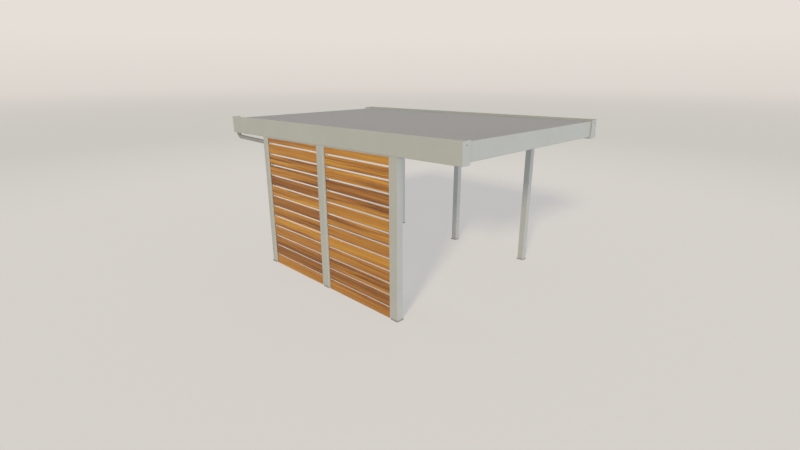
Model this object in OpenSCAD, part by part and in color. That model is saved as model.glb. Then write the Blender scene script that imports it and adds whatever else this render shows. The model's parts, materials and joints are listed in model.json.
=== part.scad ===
// Flat-roofed steel carport with two bays of horizontal boards on its left side.
// X runs across the drive-in, Y from the open front to the back, Z up; the origin is
// on the ground in the middle of the roof. The roof frame falls towards the back.

/* [Overall] */
// Length of the roof along its side beams, end caps included
roof_l = 5000; // [4000:10:6500]
// Width across the outer faces of the side beams
roof_w = 3180; // [2400:10:4200]
// Clear height under the front ends of the side beams
clear_front = 2200; // [1900:10:2800]
// Fall of the roof frame towards the back, in degrees
fall_deg = 0.8; // [0.4:0.1:1.6]

/* [Posts] */
// Width of the square post tube
post_w = 100; // [80:1:120]
// Wall thickness of the post tube
post_t = 3; // [2:0.5:5]
// Outer corner radius of the post tube
post_r = 6; // [4:0.5:12]
// Distance between the middles of neighbouring posts
post_pitch = 1483; // [1100:1:1800]
// Set-back of the posts from the outer faces of the side beams
post_inset = 5; // [0:1:15]
// Thickness of the base plates
base_t = 10; // [6:1:20]
// Reach of a base plate past its post on every side
base_lip = 12; // [5:1:40]
// Thickness of the head plates under the side beams
head_t = 8; // [5:1:15]

/* [Side beams] */
// Height of the side beams
beam_h = 274; // [250:1:320]
// Width of the side beams over their flanges
beam_w = 140; // [126:1:180]
// Sheet thickness of the side beams
beam_t = 3; // [2:0.5:4]
// Height of the inner lips of the side beams
beam_lip = 40; // [25:1:55]
// Drop from the top edge of a side beam to the shelf that carries the roof
shelf_drop = 73; // [60:1:85]
// Space inside the folded top edge of a side beam
hem_gap = 2; // [1:0.5:4]
// Thickness of the end caps
cap_t = 3; // [2:0.5:6]
// Drop of the end caps' tops below the top edges of the side beams
cap_drop = 5; // [1:1:12]

/* [Fascias] */
// Set-back of the front and back fascias from the ends of the side beams
fascia_recess = 20; // [5:1:60]
// Drop of the front fascia's top below the top edges of the side beams
fascia_drop = 25; // [5:1:30]
// Height of the fascias' bottom edges above the undersides of the side beams
fascia_rise = 26; // [5:1:32]
// Sheet thickness of the fascias
fascia_t = 3; // [2:0.5:4]
// Depth of the fascias' bottom flanges
fascia_foot = 40; // [25:1:60]
// Depth of the fascias' top flanges
fascia_brow = 18; // [12:1:30]

/* [Roof] */
// Height of the purlins
purlin_h = 120; // [80:1:150]
// Width of the purlins' flanges
purlin_w = 50; // [40:1:70]
// Sheet thickness of the purlins
purlin_t = 2; // [1.5:0.5:4]
// Height of the purlins' lips
purlin_lip = 16; // [12:1:30]
// Height of the ribs of the roof deck
deck_h = 35; // [20:1:40]
// Sheet thickness of the roof deck
deck_t = 1; // [0.75:0.25:2]
// Number of ribs across the roof deck
deck_ribs = 15; // [8:1:24]
// Thickness of the smooth roof cover
cover_t = 2; // [1:0.5:6]

/* [Drain] */
// Width of the gutter
gutter_w = 122; // [100:1:150]
// Depth of the gutter
gutter_h = 110; // [60:1:118]
// Sheet thickness of the gutter
gutter_t = 2; // [1:0.5:3]
// Outer diameter of the drain pipe
pipe_d = 63; // [50:1:80]
// Wall thickness of the drain pipe
pipe_t = 2; // [1.5:0.5:4]
// Bend radius of the elbow at the middle of the pipe
elbow_r = 71; // [55:1:100]
// Fall of the drain pipe towards its post, in degrees
pipe_fall_deg = 1; // [0.5:0.5:4]

/* [Board wall] */
// Height of a board
board_h = 145; // [90:1:200]
// Thickness of a board
board_t = 24; // [14:1:32]
// Edge radius of a board
board_r = 3; // [1:0.5:6]
// Gap between neighbouring boards
board_gap = 26.8; // [5:0.2:60]
// Height of the lowest board above the ground
board_ground = 2; // [1:1:80]
// Least height of a board that is cut to the roof's fall
board_least = 30; // [20:1:60]
// Reach of the upright channels in front of the boards
channel_w = 42; // [30:1:70]
// Reach of the upright channels behind the boards
channel_lip = 18; // [12:1:40]
// Sheet thickness of the channels and the head rails
channel_t = 3; // [2:0.5:4]
// Height of the head rails over the boards
rail_h = 15; // [12:1:40]

/* [Hidden] */
$fn = 48;
left = -1;
right = 1;
front = -1;
middle = 0;
back = 1;
paint = "#b3b2a8";
plate_grey = "#96948f";
roof_grey = "#8f8b88";
pipe_grey = "#87837c";
board_brown = "#ba8446";
// Overrun of every cut past the face that it opens
over = 5;
// Clearance round what is pushed into a socket or a hole
slip = 0.3;
// Middle-line bend radius of folded sheet, counted in sheet thicknesses
bend_share = 1.5;
// Steps along one bend of folded sheet
bend_steps = 4;
// Bend radius of the folded top edge, as a share of its width
hem_share = 0.45;
// Flat top and flat bottom of a deck rib, as shares of the ribs' spacing
rib_top_share = 0.55;
rib_foot_share = 0.2;
// Gap between the roof deck and the folded top edges of the side beams
deck_gap = 8;
// Number of purlins, one for each purlin node
purlin_count = 5;
// Distance of the outer purlins from the front fascia and from the gutter
purlin_end = 60;
// Reach of the roof over the gutter, as a share of the gutter's width
drip_share = 0.35;
// Gap between the gutter's end and the web of a side beam
gutter_end = 17;
// Gap between the gutter's outlet and its back wall
outlet_gap = 6;
// Length of the gutter's outlet inside the elbow
outlet_l = 5;
// Length and wall of the sleeve on the drain pipe
sleeve_l = 42;
sleeve_t = 3;
// Reach of the drain pipe inside its post
pipe_entry = 12;
// Play in front of the boards inside their channels
board_play = 2.5;

// Places that follow from the sizes above
beam_l = roof_l - 2 * cap_t;
shelf_h = beam_h - shelf_drop;
lip_span = roof_w - 2 * beam_w;
hem_w = 2 * beam_t + hem_gap;
cover_h = shelf_h + deck_h;
roof_top = cover_h + cover_t;
post_x = roof_w / 2 - post_inset - post_w / 2;
wall_x = post_x + post_w / 2;
slot_w = board_play + board_t + slip;
channel_d = slot_w + 2 * channel_t;
// Gap that keeps a board clear of the round bends inside a channel or a head rail
board_end = bend_share * channel_t;
bay_l = post_pitch - post_w;
board_l = bay_l - 2 * channel_t - 2 * board_end;
board_pitch = board_h + board_gap;
fascia_y = roof_l / 2 - fascia_recess;
fascia_top = beam_h - fascia_drop;
cap_return = fascia_recess + fascia_t;
deck_front = -fascia_y + fascia_t;
gutter_back = fascia_y - fascia_t;
gutter_front = gutter_back - gutter_w;
deck_back = gutter_front + drip_share * gutter_w;
deck_w = roof_w - 2 * hem_w - 2 * deck_gap;
cover_w = roof_w - 2 * hem_w - 2 * slip;
purlin_first = deck_front + purlin_end;
purlin_last = gutter_front - purlin_end;
purlin_pitch = (purlin_last - purlin_first) / (purlin_count - 1);
pipe_bore = pipe_d / 2 - pipe_t;
outlet_r = pipe_bore - slip;
drain_y = gutter_back - gutter_t - outlet_gap - outlet_r;
elbow_deg = 90 - fall_deg - pipe_fall_deg;
pivot_z = clear_front - roof_l / 2 * sin(fall_deg) + beam_h / 2 * cos(fall_deg);
run_start_y = drain_y - elbow_r + elbow_r * cos(elbow_deg);
run_l = (run_start_y - post_pitch - post_w / 2 + post_t + pipe_entry) / sin(elbow_deg);
// Least height of the head rails' lower edges over the board wall
wall_top = pivot_z - beam_h / 2 / cos(fall_deg) - (post_pitch - post_w / 2) * tan(fall_deg) - rail_h;
board_count = floor((wall_top - board_ground - board_least) / board_pitch) + 1;

// Folded sheet: a path of corners, each [across, up, bend radius], becomes a band of
// even thickness with a round bend at every corner between its ends
function flat(p) = [p[0], p[1]];
function heading(p, q) = (flat(q) - flat(p)) / norm(flat(q) - flat(p));
function turned(v, a) = [v[0] * cos(a) - v[1] * sin(a), v[0] * sin(a) + v[1] * cos(a)];
function bend(p, q, r) =
    let (
        way_in = heading(p, q),
        way_out = heading(q, r),
        angle = atan2(cross(way_in, way_out), way_in * way_out),
        hand = sign(angle),
        start = flat(q) - way_in * q[2] * tan(abs(angle) / 2),
        centre = start + turned(way_in, hand * 90) * q[2]
    )
    [for (i = [0 : bend_steps])
        let (n = turned(way_in, 90 + angle * i / bend_steps))
        [centre - hand * q[2] * n, n]];
function stations(path) =
    let (last = len(path) - 1)
    concat(
        [[flat(path[0]), turned(heading(path[0], path[1]), 90)]],
        [for (i = [1 : last - 1]) each bend(path[i - 1], path[i], path[i + 1])],
        [[flat(path[last]), turned(heading(path[last - 1], path[last]), 90)]]);

module folded(path, t) {
    row = stations(path);
    polygon(concat(
        [for (s = row) s[0] + s[1] * t / 2],
        [for (i = [len(row) - 1 : -1 : 0]) row[i][0] - row[i][1] * t / 2]));
}

module round_rect(w, h, r) {
    translate([r, 0]) square([w - 2 * r, h]);
    translate([0, r]) square([w, h - 2 * r]);
    for (x = [r, w - r], y = [r, h - r]) translate([x, y]) circle(r = r);
}

// Extrusions centred along Y and along X, with the drawing's second axis up
module along_y(l) {
    translate([0, l / 2, 0]) rotate([90, 0, 0]) linear_extrude(l) children();
}

module along_x(l) {
    translate([-l / 2, 0, 0]) rotate([90, 0, 90]) linear_extrude(l) children();
}

// The roof frame's own place: Y along the side beams, Z from their undersides
module roof_frame() {
    translate([0, 0, pivot_z]) rotate([-fall_deg, 0, 0]) translate([0, 0, -beam_h / 2]) children();
}

// Everything above a level of the roof frame
module above_roof(level) {
    roof_frame() translate([-roof_w, -roof_l, level]) cube([2 * roof_w, 2 * roof_l, roof_l]);
}

// Place along the roof frame, at the side beams' undersides, that is over a place on the ground
function over_ground(y) = (y + beam_h / 2 * sin(fall_deg)) / cos(fall_deg);

module at_post(side, row) {
    translate([side * post_x, row * post_pitch, 0]) children();
}

module on_side(side) {
    mirror([side == right ? 1 : 0, 0, 0]) translate([-roof_w / 2, 0, 0]) children();
}

// Drain pipe's axis in the roof frame: children run along +Z from the end of the elbow
module along_drain() {
    translate([-post_x, run_start_y, -elbow_r * sin(elbow_deg)])
    rotate([180 - elbow_deg, 0, 0]) children();
}

module post(side, row, drained = false) {
    color(paint)
    difference() {
        at_post(side, row) translate([-post_w / 2, -post_w / 2, base_t])
        linear_extrude(clear_front) difference() {
            round_rect(post_w, post_w, post_r);
            translate([post_t, post_t])
            round_rect(post_w - 2 * post_t, post_w - 2 * post_t, post_r - post_t);
        }
        above_roof(-head_t);
        if (drained) roof_frame() along_drain() cylinder(r = pipe_d / 2 + slip, h = run_l);
    }
}

module base_plate(side, row) {
    w = post_w + 2 * base_lip;
    color(plate_grey) at_post(side, row) translate([-w / 2, -w / 2, 0])
    linear_extrude(base_t) round_rect(w, w, post_r);
}

module head_plate(side, row) {
    color(paint) roof_frame()
    translate([side * post_x - post_w / 2, over_ground(row * post_pitch) - post_w / 2, -head_t])
    linear_extrude(head_t) round_rect(post_w, post_w, post_r);
}

module side_beam_section() {
    m = beam_t / 2;
    r = bend_share * beam_t;
    hem_r = hem_share * (beam_t + hem_gap);
    folded([
        [beam_w - m, beam_lip],
        [beam_w - m, m, r],
        [m, m, r],
        [m, beam_h - m, hem_r],
        [hem_w - m, beam_h - m, hem_r],
        [hem_w - m, shelf_h - m, r],
        [beam_w - m, shelf_h - m, r],
        [beam_w - m, shelf_h - beam_lip]
    ], beam_t);
}

module side_beam(side, drained = false) {
    color(paint) roof_frame()
    difference() {
        on_side(side) along_y(beam_l) side_beam_section();
        if (drained) translate([-post_x, drain_y, -over])
            cylinder(r = outlet_r + slip, h = beam_t + 2 * over);
    }
}

// End plate with two inner returns that close the beam's open side in front of the fascia
module end_cap(side, row) {
    top = row == front ? fascia_top : roof_top;
    color(paint) roof_frame() on_side(side) mirror([0, row == front ? 0 : 1, 0])
    translate([0, -roof_l / 2, 0]) {
        cube([beam_w, cap_t, beam_h - cap_drop]);
        translate([beam_w - cap_t, 0, beam_lip]) cube([cap_t, cap_return, shelf_h - 2 * beam_lip]);
        translate([beam_w - cap_t, 0, shelf_h]) cube([cap_t, cap_return, top - shelf_h]);
    }
}

// Fascia section with its face at zero and its flanges towards the back
module fascia_section(top) {
    m = fascia_t / 2;
    r = bend_share * fascia_t;
    folded([
        [fascia_foot, fascia_rise + m],
        [m, fascia_rise + m, r],
        [m, top - m, r],
        [fascia_brow, top - m]
    ], fascia_t);
}

module front_fascia() {
    color(paint) roof_frame()
    translate([0, -fascia_y, 0]) along_x(lip_span) fascia_section(fascia_top);
}

module back_fascia() {
    color(paint) roof_frame()
    translate([0, fascia_y, 0]) mirror([0, 1, 0]) along_x(lip_span) fascia_section(roof_top);
}

module purlin(i) {
    m = purlin_t / 2;
    r = bend_share * purlin_t;
    color(paint) roof_frame()
    translate([0, purlin_first + (i - 1) * purlin_pitch - purlin_w / 2, shelf_h - purlin_h])
    along_x(lip_span)
    folded([
        [purlin_w - m, purlin_lip],
        [purlin_w - m, m, r],
        [m, m, r],
        [m, purlin_h - m, r],
        [purlin_w - m, purlin_h - m, r],
        [purlin_w - m, purlin_h - purlin_lip]
    ], purlin_t);
}

// Ribbed sheet with flat feet along both edges and flat tops under the cover
module roof_deck() {
    pitch = deck_w / (deck_ribs + rib_foot_share);
    foot = rib_foot_share * pitch;
    top = rib_top_share * pitch;
    slope = (pitch - foot - top) / 2;
    low = [for (i = [0 : deck_ribs - 1]) each [
        [i * pitch, 0], [i * pitch + foot, 0],
        [i * pitch + foot + slope, deck_h - deck_t],
        [i * pitch + foot + slope + top, deck_h - deck_t]
    ]];
    line = concat(low, [[deck_w - foot, 0], [deck_w, 0]]);
    color(roof_grey) roof_frame()
    translate([-deck_w / 2, (deck_front + deck_back) / 2, shelf_h])
    along_y(deck_back - deck_front)
    polygon(concat(line, [for (i = [len(line) - 1 : -1 : 0]) line[i] + [0, deck_t]]));
}

module roof_cover() {
    color(roof_grey) roof_frame()
    translate([-cover_w / 2, deck_front, cover_h]) cube([cover_w, deck_back - deck_front, cover_t]);
}

module gutter() {
    m = gutter_t / 2;
    r = bend_share * gutter_t;
    l = roof_w - 2 * beam_t - 2 * gutter_end;
    color(paint) roof_frame()
    difference() {
        union() {
            translate([0, gutter_front, beam_lip]) along_x(l) folded([
                [m, gutter_h],
                [m, m, r],
                [gutter_w - m, m, r],
                [gutter_w - m, gutter_h]
            ], gutter_t);
            for (x = [-l / 2, l / 2 - gutter_t])
                translate([x, gutter_front, beam_lip]) cube([gutter_t, gutter_w, gutter_h]);
            translate([-post_x, drain_y, -outlet_l])
            cylinder(r = outlet_r, h = beam_lip + outlet_l + gutter_t);
        }
        translate([-post_x, drain_y, -outlet_l - over])
        cylinder(r = outlet_r - gutter_t, h = beam_lip + outlet_l + gutter_t + 2 * over);
    }
}

module drain_elbow() {
    color(pipe_grey) roof_frame()
    translate([-post_x, drain_y - elbow_r, 0]) rotate([-90, 0, 90])
    rotate_extrude(angle = elbow_deg) translate([elbow_r, 0])
    difference() {
        circle(r = pipe_d / 2);
        circle(r = pipe_bore);
    }
}

module drain_pipe() {
    color(pipe_grey) roof_frame() along_drain()
    difference() {
        union() {
            cylinder(r = pipe_d / 2, h = run_l);
            cylinder(r = pipe_d / 2 + sleeve_t, h = sleeve_l);
        }
        translate([0, 0, -over]) cylinder(r = pipe_bore, h = run_l + 2 * over);
    }
}

// Upright channel against one post, open towards its bay
module channel(row, way) {
    m = channel_t / 2;
    r = bend_share * channel_t;
    color(paint)
    difference() {
        translate([-wall_x, row * post_pitch + way * post_w / 2, base_t])
        mirror([0, way < 0 ? 1 : 0, 0])
        linear_extrude(clear_front) folded([
            [m, channel_w],
            [m, m, r],
            [channel_d - m, m, r],
            [channel_d - m, channel_lip]
        ], channel_t);
        above_roof(-rail_h);
    }
}

// Inverted channel under the side beam, over one bay's boards
module head_rail(bay) {
    m = channel_t / 2;
    r = bend_share * channel_t;
    color(paint) roof_frame()
    translate([-wall_x, over_ground(bay * post_pitch / 2), -rail_h])
    along_y(bay_l - 2 * slip) folded([
        [m, 0],
        [m, rail_h - m, r],
        [channel_d - m, rail_h - m, r],
        [channel_d - m, 0]
    ], channel_t);
}

module board(i, bay) {
    translate([-wall_x + channel_t + board_play, bay * post_pitch / 2, board_ground + i * board_pitch])
    along_y(board_l) round_rect(board_t, board_h, board_r);
}

module boards(bay) {
    color(board_brown) {
        for (i = [0 : board_count - 2]) board(i, bay);
        difference() {
            board(board_count - 1, bay);
            above_roof(-channel_t - board_end);
        }
    }
}

post(left, front);  // post_front_left
post(left, middle);  // post_middle_left
post(left, back, drained = true);  // post_back_left
post(right, front);  // post_front_right
post(right, middle);  // post_middle_right
post(right, back);  // post_back_right
base_plate(left, front);  // base_plate_front_left
base_plate(left, middle);  // base_plate_middle_left
base_plate(left, back);  // base_plate_back_left
base_plate(right, front);  // base_plate_front_right
base_plate(right, middle);  // base_plate_middle_right
base_plate(right, back);  // base_plate_back_right
head_plate(left, front);  // head_plate_front_left
head_plate(left, middle);  // head_plate_middle_left
head_plate(left, back);  // head_plate_back_left
head_plate(right, front);  // head_plate_front_right
head_plate(right, middle);  // head_plate_middle_right
head_plate(right, back);  // head_plate_back_right
side_beam(left, drained = true);  // side_beam_left
side_beam(right);  // side_beam_right
end_cap(left, front);  // end_cap_front_left
end_cap(right, front);  // end_cap_front_right
end_cap(left, back);  // end_cap_back_left
end_cap(right, back);  // end_cap_back_right
front_fascia();
back_fascia();
purlin(1);  // purlin_1
purlin(2);  // purlin_2
purlin(3);  // purlin_3
purlin(4);  // purlin_4
purlin(5);  // purlin_5
roof_deck();
roof_cover();
gutter();
drain_elbow();
drain_pipe();
channel(front, 1);  // channel_front_bay_front
channel(middle, -1);  // channel_front_bay_back
channel(middle, 1);  // channel_back_bay_front
channel(back, -1);  // channel_back_bay_back
head_rail(front);  // head_rail_front_bay
head_rail(back);  // head_rail_back_bay
boards(front);  // boards_front_bay
boards(back);  // boards_back_bay
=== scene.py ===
"""Looks of the carport: finishes, small fasteners, floor, light and camera."""

import json
import math

import bmesh
import bpy
from mathutils import Matrix, Vector


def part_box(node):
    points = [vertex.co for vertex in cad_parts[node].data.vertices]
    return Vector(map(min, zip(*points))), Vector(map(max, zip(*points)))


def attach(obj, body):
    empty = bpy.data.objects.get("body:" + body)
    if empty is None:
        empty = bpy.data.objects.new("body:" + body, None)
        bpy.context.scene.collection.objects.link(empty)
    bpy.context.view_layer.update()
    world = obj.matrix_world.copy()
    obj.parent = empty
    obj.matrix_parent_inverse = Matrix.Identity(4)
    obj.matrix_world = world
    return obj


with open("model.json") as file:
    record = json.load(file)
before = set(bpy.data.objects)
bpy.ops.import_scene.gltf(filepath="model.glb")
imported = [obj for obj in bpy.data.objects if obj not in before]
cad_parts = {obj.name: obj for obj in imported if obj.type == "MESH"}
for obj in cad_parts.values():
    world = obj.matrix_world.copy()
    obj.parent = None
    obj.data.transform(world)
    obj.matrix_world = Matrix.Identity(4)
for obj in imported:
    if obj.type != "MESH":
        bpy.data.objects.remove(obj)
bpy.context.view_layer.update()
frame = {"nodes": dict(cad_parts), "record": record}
nodes = frame["nodes"]
scene = bpy.context.scene
scene.view_settings.view_transform = "Standard"

# Sizes of the solids that the finishes and the fasteners follow, in metres
ROOF_L = 5.0
ROOF_W = 3.18
CLEAR_FRONT = 2.2
FALL = math.radians(0.8)
BEAM_H = 0.274
BEAM_W = 0.14
SHELF = 0.201
FASCIA_RECESS = 0.02
FASCIA_T = 0.003
GUTTER_W = 0.122
PURLIN_W = 0.05
PURLIN_T = 0.002
PURLIN_END = 0.06
PURLINS = 5
POST_W = 0.1
POST_X = 1.535
POST_Y = 1.483
BOARD_GROUND = 0.002
BOARD_GAP = 0.0268
BOARD_PITCH = 0.1718
BOARDS = 13
PIPE_R = 0.0315
PIPE_FALL = math.radians(1.0)

# The roof frame's own place: Y along the side beams, Z from their undersides
PIVOT = CLEAR_FRONT - ROOF_L / 2 * math.sin(FALL) + BEAM_H / 2 * math.cos(FALL)
ROOF = (
    Matrix.Translation((0, 0, PIVOT))
    @ Matrix.Rotation(-FALL, 4, "X")
    @ Matrix.Translation((0, 0, -BEAM_H / 2))
)

# Most of a noise lies between these values
NOISE_LOW = 0.3
NOISE_HIGH = 0.7


def node(tree, kind, inputs=None, **settings):
    """A shader node with its settings; an input is a value or the socket that feeds it."""
    made = tree.nodes.new("ShaderNode" + kind)
    for name, value in settings.items():
        setattr(made, name, value)
    for key, value in (inputs or {}).items():
        if isinstance(value, bpy.types.NodeSocket):
            tree.links.new(value, made.inputs[key])
        else:
            made.inputs[key].default_value = value
    return made


def math_node(tree, operation, *values):
    return node(tree, "Math", dict(enumerate(values)), operation=operation).outputs[0]


def add(tree, first, second):
    return math_node(tree, "ADD", first, second)


def times(tree, first, second):
    return math_node(tree, "MULTIPLY", first, second)


def vector_node(tree, operation, *values):
    return node(tree, "VectorMath", dict(enumerate(values)), operation=operation).outputs[0]


def height_of(tree, place):
    return node(tree, "SeparateXYZ", {0: place}).outputs["Z"]


def ramp(tree, value, stops, interpolation="LINEAR"):
    """A colour ramp with stops of (place, colour)."""
    made = node(tree, "ValToRGB", {"Fac": value})
    made.color_ramp.interpolation = interpolation
    elements = made.color_ramp.elements
    while len(elements) < len(stops):
        elements.new(1.0)
    for element, (place, colour) in zip(elements, stops):
        element.position = place
        element.color = (*colour, 1.0)
    return made.outputs["Color"]


def blend(tree, share, first, second):
    mixed = node(tree, "Mix", {0: share, 6: first, 7: second}, data_type="RGBA")
    return mixed.outputs[2]


def mix_shaders(tree, share, first, second):
    return node(tree, "MixShader", {0: share, 1: first, 2: second}).outputs[0]


def between(tree, value, low, high, to_low, to_high, **settings):
    """A value's span from low to high, carried over to another span and held at its ends."""
    spans = {"From Min": low, "From Max": high, "To Min": to_low, "To Max": to_high}
    return node(tree, "MapRange", {"Value": value, **spans}, **settings).outputs["Result"]


def noise(tree, place, scale, detail=3.0, roughness=0.5):
    settings = {"Scale": scale, "Detail": detail, "Roughness": roughness}
    return node(tree, "TexNoise", {"Vector": place, **settings}).outputs["Fac"]


def grain_noise(tree, place, across, along, detail=2.0, roughness=0.5):
    """Noise drawn out along Y: how often it changes in a metre across and along."""
    drawn_out = vector_node(tree, "MULTIPLY", place, (across, along, across))
    return noise(tree, drawn_out, 1.0, detail, roughness)


def spread(tree, value, to_low, to_high):
    """A noise's usual span carried over to another one."""
    return between(tree, value, NOISE_LOW, NOISE_HIGH, to_low, to_high)


def scaled(colour, share):
    return tuple(c * share for c in colour)


def clouded(tree, value, colour, low_share, high_share, high=NOISE_HIGH):
    """A colour that drifts with a noise between two shares of itself."""
    low_stop = (NOISE_LOW, scaled(colour, low_share))
    high_stop = (high, scaled(colour, high_share))
    return ramp(tree, value, [low_stop, high_stop])


def flecked(tree, tone, value, low, high, most, fleck):
    """A tone with another colour laid over it where a value is high."""
    return blend(tree, between(tree, value, low, high, 0.0, most), tone, (*fleck, 1.0))


def surface(name, **sockets):
    """A material with its Principled shader; returns the material, its tree, shader and place."""
    made = bpy.data.materials.new(name)
    made.use_nodes = True
    tree = made.node_tree
    shader = tree.nodes["Principled BSDF"]
    for key, value in sockets.items():
        shader.inputs[key.replace("_", " ")].default_value = value
    place = node(tree, "TexCoord").outputs["Object"]
    return made, tree, shader, place


def finish_surface(tree, shader, colour, rough, height, strength, distance):
    bump = node(tree, "Bump", {"Height": height, "Strength": strength, "Distance": distance})
    tree.links.new(colour, shader.inputs["Base Color"])
    tree.links.new(rough, shader.inputs["Roughness"])
    tree.links.new(bump.outputs["Normal"], shader.inputs["Normal"])


# Dust that rain splashes up the posts: its colour, and where it ends and is thickest
DUST = (0.33, 0.29, 0.24)
SPLASH_TOP = 0.32
SPLASH_FULL = 0.01


def coated(name, colour, rough, dust):
    """Powder-coated steel: fine orange peel, cloudy tone and a little dust near the ground."""
    made, tree, shader, place = surface(name)
    clouds = noise(tree, place, 1.7, detail=4.0, roughness=0.6)
    tone = clouded(tree, clouds, colour, 0.965, 1.03)
    specks = noise(tree, place, 55.0, detail=5.0, roughness=0.7)
    tone = flecked(tree, tone, specks, 0.62, 0.8, 0.25, scaled(colour, 0.86))
    splash = between(tree, height_of(tree, place), SPLASH_TOP, SPLASH_FULL, 0.0, dust)
    patches = spread(tree, noise(tree, place, 9.0), 0.4, 1.0)
    tone = blend(tree, times(tree, splash, patches), tone, (*DUST, 1.0))
    shine = spread(tree, noise(tree, place, 6.0), rough - 0.05, rough + 0.07)
    peel = noise(tree, place, 620.0, detail=2.0)
    finish_surface(tree, shader, tone, shine, peel, strength=0.12, distance=0.0004)
    return made


def roofing(name, colour):
    """Matt mineral-coated roof cover with a fine grit and faint runs along the fall."""
    made, tree, shader, place = surface(name)
    clouds = noise(tree, place, 0.9, detail=4.0, roughness=0.55)
    tone = clouded(tree, clouds, colour, 0.96, 1.04, high=0.72)
    down_the_fall = vector_node(tree, "MULTIPLY", place, (7.0, 0.5, 1.0))
    runs = noise(tree, down_the_fall, 1.0, detail=4.0, roughness=0.6)
    tone = flecked(tree, tone, runs, 0.55, 0.8, 0.22, scaled(colour, 0.82))
    grit = noise(tree, place, 420.0, roughness=0.7)
    tone = flecked(tree, tone, grit, 0.5, 0.75, 0.3, scaled(colour, 1.25))
    shine = spread(tree, clouds, 0.72, 0.86)
    finish_surface(tree, shader, tone, shine, grit, strength=0.25, distance=0.0008)
    return made


def coil_coated(name, colour):
    """Thin coil-coated sheet of the deck, with the roller's faint lengthwise lines."""
    made, tree, shader, place = surface(name)
    tone = clouded(tree, noise(tree, place, 1.2), colour, 0.95, 1.03)
    lines = grain_noise(tree, place, 160.0, 1.4, roughness=0.4)
    tone = flecked(tree, tone, lines, 0.5, 0.8, 0.2, scaled(colour, 0.9))
    shine = spread(tree, lines, 0.4, 0.52)
    finish_surface(tree, shader, tone, shine, lines, strength=0.06, distance=0.0003)
    return made


def moulded(name, colour):
    """Matt extruded plastic with fine die lines and scuffs."""
    made, tree, shader, place = surface(name)
    tone = clouded(tree, noise(tree, place, 7.0), colour, 0.93, 1.05)
    lines = grain_noise(tree, place, 420.0, 6.0)
    tone = flecked(tree, tone, lines, 0.5, 0.8, 0.25, scaled(colour, 1.2))
    shine = spread(tree, lines, 0.42, 0.55)
    finish_surface(tree, shader, tone, shine, lines, strength=0.08, distance=0.0003)
    return made


def plated(name, colour):
    """Zinc-plated fasteners with a faint spangle."""
    made, tree, shader, place = surface(name, Metallic=0.85)
    spangle = noise(tree, place, 240.0, detail=2.0)
    tone = clouded(tree, spangle, colour, 0.85, 1.1)
    shine = spread(tree, spangle, 0.32, 0.46)
    finish_surface(tree, shader, tone, shine, spangle, strength=0.05, distance=0.0002)
    return made


# The boards' colour by its depth, from the palest amber to the darkest streaks
WOOD_TONES = [
    (0.1, (0.51, 0.258, 0.039)),
    (0.34, (0.43, 0.201, 0.031)),
    (0.54, (0.355, 0.152, 0.028)),
    (0.76, (0.24, 0.092, 0.0205)),
    (0.95, (0.145, 0.0585, 0.014)),
]
# Depth of a board's own tone, and how far its grain swings about it
AMBER, GOLD, MID, BROWN, DARK, DEEP = 0.37, 0.45, 0.55, 0.64, 0.72, 0.82
QUIET_SWING = 1.9
STREAKY_SWING = 4.0
# How far the streaks sway up and down, and how far apart the boards' runs of grain are taken
GRAIN_SWAY = 0.013
GRAIN_SHIFT = 37.0


def boarded(name, seed, tones, streaky_boards):
    """Oiled boards: grain along Y, each board with its own tone and its own run of grain."""
    made, tree, shader, place = surface(name, Specular_IOR_Level=0.3)
    lifted = add(tree, height_of(tree, place), BOARD_GAP / 2 - BOARD_GROUND)
    index = math_node(tree, "FLOOR", math_node(tree, "DIVIDE", lifted, BOARD_PITCH))
    own = node(tree, "TexWhiteNoise", {"W": add(tree, index, seed)}, noise_dimensions="1D")
    taken = {0: own.outputs["Color"], "Scale": GRAIN_SHIFT}
    shift = node(tree, "VectorMath", taken, operation="SCALE").outputs[0]
    along = vector_node(tree, "ADD", place, shift)
    # Each board's depth of tone (red) and whether it is streaky (green), counted from the ground
    share = math_node(tree, "DIVIDE", add(tree, index, 0.5), float(BOARDS))
    kinds = [(i / BOARDS, (tones[i], float(i in streaky_boards), 0.0)) for i in range(BOARDS)]
    kind = node(tree, "SeparateColor", {0: ramp(tree, share, kinds, "CONSTANT")})
    # Long streaks that sway a little, growth lines and fine fibres
    sway = spread(tree, grain_noise(tree, along, 0.0, 1.3), -GRAIN_SWAY, GRAIN_SWAY)
    swayed = vector_node(tree, "ADD", along, node(tree, "CombineXYZ", {"Z": sway}).outputs[0])
    streaks = grain_noise(tree, swayed, 19.0, 0.34, detail=3.0, roughness=0.55)
    lines = grain_noise(tree, swayed, 62.0, 0.8, detail=3.0, roughness=0.6)
    fibres = grain_noise(tree, along, 520.0, 9.0)
    finer = add(tree, times(tree, lines, 0.4), times(tree, fibres, 0.1))
    grain = add(tree, times(tree, streaks, 0.5), finer)
    swing = between(tree, kind.outputs["Green"], 0.0, 1.0, QUIET_SWING, STREAKY_SWING)
    swung = times(tree, math_node(tree, "SUBTRACT", grain, 0.5), swing)
    tone = ramp(tree, add(tree, kind.outputs["Red"], swung), WOOD_TONES)
    shine = spread(tree, grain, 0.42, 0.56)
    relief = add(tree, lines, fibres)
    finish_surface(tree, shader, tone, shine, relief, strength=0.18, distance=0.0006)
    return made


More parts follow.
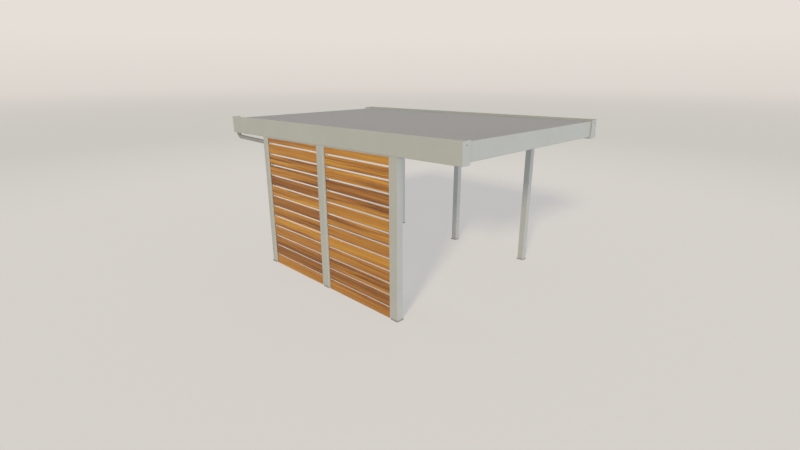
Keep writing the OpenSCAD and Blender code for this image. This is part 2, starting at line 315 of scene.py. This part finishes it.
paint = coated("powder_coat", (0.362, 0.368, 0.341), rough=0.46, dust=0.07)
# The base plates' darker grey is partly their own coat and partly painted contact shade at the
# posts' feet.
plate = coated("plate_coat_and_painted_shade", (0.27, 0.265, 0.25), rough=0.5, dust=0.35)
roof = roofing("roof_cover_coat", (0.297, 0.279, 0.262))
deck = coil_coated("deck_coil_coat", (0.6, 0.6, 0.57))
pipe = moulded("pipe_plastic", (0.256, 0.249, 0.24))
zinc = plated("zinc_fastener", (0.55, 0.55, 0.54))
dark = moulded("dark_screw", (0.21, 0.21, 0.203))
front_wood = boarded(
    "boards_front",
    seed=3.0,
    tones=(MID, DARK, BROWN, MID, AMBER, MID, MID, GOLD, DEEP, DARK, GOLD, GOLD, GOLD),
    streaky_boards=(2, 6, 8, 10, 11),
)
back_wood = boarded(
    "boards_back",
    seed=23.0,
    tones=(MID, DARK, DARK, MID, AMBER, BROWN, DARK, GOLD, DARK, MID, MID, GOLD, MID),
    streaky_boards=(4, 5, 7, 9, 10),
)

SLOT_LOOKS = {"paint": paint, "plate": plate, "roof": roof, "deck": deck, "pipe": pipe}
NODE_LOOKS = {"boards_front_bay": front_wood, "boards_back_bay": back_wood}
for sub in frame["record"]["subparts"]:
    look = NODE_LOOKS.get(sub["node"]) or SLOT_LOOKS[sub["material_slot"]]
    materials = nodes[sub["node"]].data.materials
    materials.clear()
    materials.append(look)


STEPS = 24


def ring(radius, height, six_sided):
    """Points of one ring of a turned piece; a six-sided ring has that radius at its corners."""
    points = []
    for k in range(STEPS):
        turn = 2 * math.pi * k / STEPS
        r = radius
        if six_sided:
            r = radius * math.cos(math.pi / 6) / math.cos(turn % (math.pi / 3) - math.pi / 6)
        points.append(Vector((r * math.cos(turn), r * math.sin(turn), height)))
    return points


def loops(bm, rows, place):
    """Vertices of each row of points, put in place."""
    return [[bm.verts.new(place @ point) for point in row] for row in rows]


def skin(bm, rows):
    """Faces between neighbouring rows, each row a closed loop of vertices."""
    for low, high in zip(rows, rows[1:]):
        for k in range(len(low)):
            j = (k + 1) % len(low)
            bm.faces.new((low[k], low[j], high[j], high[k]))


def closed(bm, rows):
    """A solid's skin, with a face over its first row and its last one."""
    skin(bm, rows)
    bm.faces.new(rows[0][::-1])
    bm.faces.new(rows[-1])


def turned(bm, rings, place):
    """A closed piece turned about its own Z through rings of (radius, height, six-sided)."""
    closed(bm, loops(bm, [ring(*r) for r in rings], place))


def piece(name, bm, look, smooth_deg):
    """A visible piece on the standing frame, smooth up to the given angle between faces."""
    bmesh.ops.recalc_face_normals(bm, faces=bm.faces)
    mesh = bpy.data.meshes.new(name)
    bm.to_mesh(mesh)
    bm.free()
    mesh.materials.append(look)
    made = bpy.data.objects.new(name, mesh)
    scene.collection.objects.link(made)
    mesh.shade_smooth()
    mesh.set_sharp_from_angle(angle=math.radians(smooth_deg))
    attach(made, "root")


PAN_HEAD = [
    (0.0085, 0.0, False),
    (0.0085, 0.0012, False),
    (0.0078, 0.0026, False),
    (0.006, 0.0037, False),
    (0.0042, 0.0041, False),
    (0.0032, 0.0041, True),
    (0.003, 0.0016, True),
]
HEX_BOLT = [
    (0.0105, 0.0, False),
    (0.0105, 0.002, False),
    (0.0098, 0.0021, True),
    (0.0098, 0.0072, True),
    (0.0088, 0.0084, False),
]


def facing(point, direction, spin):
    """Place in the roof frame whose Z points along a direction."""
    turn = Vector(direction).to_track_quat("Z", "Y").to_matrix().to_4x4()
    return ROOF @ Matrix.Translation(point) @ turn @ Matrix.Rotation(spin, 4, "Z")


# One screw in each end cap, where the photo shows it on the near one
CAP_SCREW_X = ROOF_W / 2 - 0.069
CAP_SCREW_Z = 0.222
CAP_SCREW_SPIN = 0.3
screws = bmesh.new()
for side in (-1, 1):
    for end in (-1, 1):
        spot = (side * CAP_SCREW_X, end * ROOF_L / 2, CAP_SCREW_Z)
        turned(screws, PAN_HEAD, facing(spot, (0, end, 0), CAP_SCREW_SPIN))
piece("cap_screws", screws, dark, smooth_deg=35)

# Angle cleats inside the purlins' ends, bolted to the purlin and to the beam's lip
CLEAT_T = 0.004
CLEAT_LEG = 0.06
CLEAT_FOOT = 0.042
CLEAT_H = 0.034
CLEAT_R = 0.006
CLEAT_CLEAR = 0.002
BEND_TURNS = (0, 0.39, 0.79, 1.18, 1.57)
LEG_BOLT = 0.038
FOOT_BOLT = 0.028
LEG_BOLT_SPIN = 0.2
FOOT_BOLT_SPIN = 0.3


def cleat_bend(r, turns):
    return [(CLEAT_R - r * math.sin(a), CLEAT_R - r * math.cos(a)) for a in turns]


def cleat_outline():
    """Angle section with a round bend, one leg along the purlin and the other on the lip."""
    return [
        (CLEAT_LEG, 0.0),
        *cleat_bend(CLEAT_R, BEND_TURNS),
        (0.0, CLEAT_FOOT),
        (CLEAT_T, CLEAT_FOOT),
        *cleat_bend(CLEAT_R - CLEAT_T, BEND_TURNS[::-1]),
        (CLEAT_LEG, CLEAT_T),
    ]


deck_front = -ROOF_L / 2 + FASCIA_RECESS + FASCIA_T
gutter_front = ROOF_L / 2 - FASCIA_RECESS - FASCIA_T - GUTTER_W
first_purlin = deck_front + PURLIN_END
purlin_pitch = (gutter_front - PURLIN_END - first_purlin) / (PURLINS - 1)
lip = ROOF_W / 2 - BEAM_W
cleat_top = SHELF - PURLIN_T - CLEAT_CLEAR
cleat_low = cleat_top - CLEAT_H
bolt_z = cleat_low + CLEAT_H / 2
cleats = bmesh.new()
bolts = bmesh.new()
for i in range(PURLINS):
    web = first_purlin + i * purlin_pitch - PURLIN_W / 2
    for side in (-1, 1):
        outline = [(side * (lip - x), web + PURLIN_T + y) for x, y in cleat_outline()]
        rows = [[Vector((x, y, z)) for x, y in outline] for z in (cleat_low, cleat_top)]
        closed(cleats, loops(cleats, rows, ROOF))
        on_leg = (side * (lip - LEG_BOLT), web, bolt_z)
        on_foot = (side * (lip - CLEAT_T), web + FOOT_BOLT, bolt_z)
        turned(bolts, HEX_BOLT, facing(on_leg, (0, -1, 0), LEG_BOLT_SPIN * i))
        turned(bolts, HEX_BOLT, facing(on_foot, (-side, 0, 0), FOOT_BOLT_SPIN * i))
piece("purlin_cleats", cleats, paint, smooth_deg=30)
piece("purlin_bolts", bolts, zinc, smooth_deg=30)

# Rubber collar round the drain pipe where it enters its post: (distance from the pipe, height)
COLLAR = [
    (0.0002, 0.0),
    (0.007, 0.0),
    (0.0075, 0.003),
    (0.0055, 0.0065),
    (0.0022, 0.0085),
    (0.0002, 0.0085),
]
COLLAR_LIFT = 0.0005
pipe_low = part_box("drain_pipe")[0]
entry = Vector((-POST_X, POST_Y + POST_W / 2, pipe_low.z + PIPE_R + COLLAR_LIFT))
up_the_pipe = Vector((0, math.cos(PIPE_FALL), math.sin(PIPE_FALL)))
around_pipe = Matrix.Translation(entry) @ up_the_pipe.to_track_quat("Z", "X").to_matrix().to_4x4()
collar = bmesh.new()
rows = loops(collar, [ring(PIPE_R + r, h, False) for r, h in COLLAR], around_pipe)
skin(collar, rows + rows[:1])
piece("pipe_collar", collar, pipe, smooth_deg=40)

# Floor, a pale sheet lit partly from beneath, that fades into the backdrop
FLOOR_R = 90.0
FLOOR_STEPS = 96
FLOOR_DROP = 0.0005
FLOOR_NEAR = (0.68, 0.664, 0.655)
FLOOR_FAR = (0.612, 0.604, 0.586)
FLOOR_GLOW = 0.784
GLOW_SHARE = 0.88
FADE_FROM = 20.0
HAZE = (0.716, 0.665, 0.62)


def floor_sheet():
    """Pale sheet that partly glows; from below it is clear, to show the carport's underside."""
    made, tree, shader, place = surface("floor_sheet", Roughness=0.9, Specular_IOR_Level=0.1)
    distance = node(tree, "VectorMath", {0: place}, operation="LENGTH").outputs["Value"]
    share = math_node(tree, "DIVIDE", distance, FLOOR_R)
    sheet = ramp(tree, share, [(0.0, FLOOR_NEAR), (0.1, FLOOR_NEAR), (0.2, FLOOR_FAR)])
    tree.links.new(sheet, shader.inputs["Base Color"])
    glow = node(tree, "Emission", {"Color": sheet, "Strength": FLOOR_GLOW}).outputs[0]
    lit = mix_shaders(tree, GLOW_SHARE, shader.outputs[0], glow)
    far = node(tree, "Emission", {"Color": (*HAZE, 1.0)}).outputs[0]
    smooth = {"interpolation_type": "SMOOTHSTEP"}
    fade = between(tree, distance, FADE_FROM, FLOOR_R, 0.0, 1.0, **smooth)
    upper = mix_shaders(tree, fade, lit, far)
    from_below = node(tree, "NewGeometry").outputs["Backfacing"]
    clear = node(tree, "BsdfTransparent").outputs[0]
    both = mix_shaders(tree, from_below, upper, clear)
    tree.links.new(both, tree.nodes["Material Output"].inputs["Surface"])
    return made


disc = bmesh.new()
bmesh.ops.create_circle(disc, cap_ends=True, segments=FLOOR_STEPS, radius=FLOOR_R)
ground = bpy.data.meshes.new("floor")
disc.to_mesh(ground)
disc.free()
ground.materials.append(floor_sheet())
floor = bpy.data.objects.new("floor", ground)
floor.location.z = -FLOOR_DROP
scene.collection.objects.link(floor)

# Backdrop that the camera sees, from the haze up to a paler wall, and the cool sky for the rest;
# the two levels are the Z of the direction looked in
WALL = (0.79, 0.738, 0.688)
SKY = (0.73, 0.757, 0.8)
HAZE_LEVEL = -0.04
WALL_LEVEL = 0.06
world = bpy.data.worlds.new("studio")
scene.world = world
world.use_nodes = True
tree = world.node_tree
seen = node(tree, "LightPath").outputs["Is Camera Ray"]
upward = height_of(tree, node(tree, "TexCoord").outputs["Generated"])
rise = between(tree, upward, HAZE_LEVEL, WALL_LEVEL, 0.0, 1.0)
wall = ramp(tree, rise, [(0.0, HAZE), (1.0, WALL)])
backdrop = blend(tree, seen, (*SKY, 1.0), wall)
tree.links.new(backdrop, tree.nodes["Background"].inputs["Color"])


def lamp(name, kind, energy, colour):
    data = bpy.data.lights.new(name, kind)
    data.energy = energy
    data.color = colour
    made = bpy.data.objects.new(name, data)
    scene.collection.objects.link(made)
    return made


def sun(name, energy, colour, run, spread_deg):
    """Even light that runs along a direction, from a disc as wide as the spread."""
    made = lamp(name, "SUN", energy, colour)
    made.data.angle = math.radians(spread_deg)
    made.rotation_euler = Vector(run).to_track_quat("-Z", "Y").to_euler()
    return made


def reach_only(light, name, receivers):
    """Keeps a light to the given objects."""
    group = bpy.data.collections.new(name)
    for receiver in receivers:
        group.objects.link(receiver)
    light.light_linking.receiver_collection = group


# A warm soft key from the left; the glowing floor needs more of it to show a shadow
KEY_COLOUR = (1.0, 0.85, 0.6)
KEY_RUN = (4.4, 2.2, -2.3)
KEY_SPREAD = 9.0
key = sun("key", 1.6, KEY_COLOUR, KEY_RUN, KEY_SPREAD)
floor_key = sun("floor_key", 10.8, KEY_COLOUR, KEY_RUN, KEY_SPREAD)
reach_only(floor_key, "floor_only", [floor])

# A cool wide light from the front, and a cool panel that lights the right posts' inner faces
front = sun("front", 1.31, (0.9, 1.0, 1.17), (-0.4, 1.0, -0.12), spread_deg=25.0)
front.data.use_shadow = False
fill = lamp("fill", "AREA", 19.5, (0.78, 1.0, 1.2))
fill.data.shape = "RECTANGLE"
fill.data.size = 1.6
fill.data.size_y = 4.0
fill.location = (-1.2, 0.0, 1.3)
fill.rotation_euler = (0.0, math.radians(-90.0), 0.0)
fill.visible_camera = False

# Light into the narrow gaps: the boards' upper edges and the post faces behind their back ends
GAP_NODES = ("boards_front_bay", "boards_back_bay", "post_middle_left", "post_back_left")
gap_light = sun("gap_light", 2.5, (1.0, 1.0, 1.0), (0.0, 1.0, -1.0), spread_deg=0.526)
gap_light.data.use_shadow = False
reach_only(gap_light, "gap_only", [nodes[name] for name in GAP_NODES])

# Left out of reflections, these make no glints on thin edges
for light in (key, front, gap_light):
    light.visible_glossy = False

# The photo's camera: its width and focal length in pixels, how far it looks down and aside
PHOTO_W = 800
FOCAL_PX = 480.8
SENSOR_W = 36.0
LOOK_DOWN = math.radians(17.925)
LOOK_ASIDE = math.radians(45.02)
eye_data = bpy.data.cameras.new("camera")
eye_data.sensor_width = SENSOR_W
eye_data.lens = FOCAL_PX / PHOTO_W * SENSOR_W
eye_data.clip_end = 300.0
eye = bpy.data.objects.new("camera", eye_data)
eye.location = (-5.546, -5.5415, 3.169)
eye.rotation_euler = (math.pi / 2 - LOOK_DOWN, 0.0, -LOOK_ASIDE)
scene.collection.objects.link(eye)
scene.camera = eye
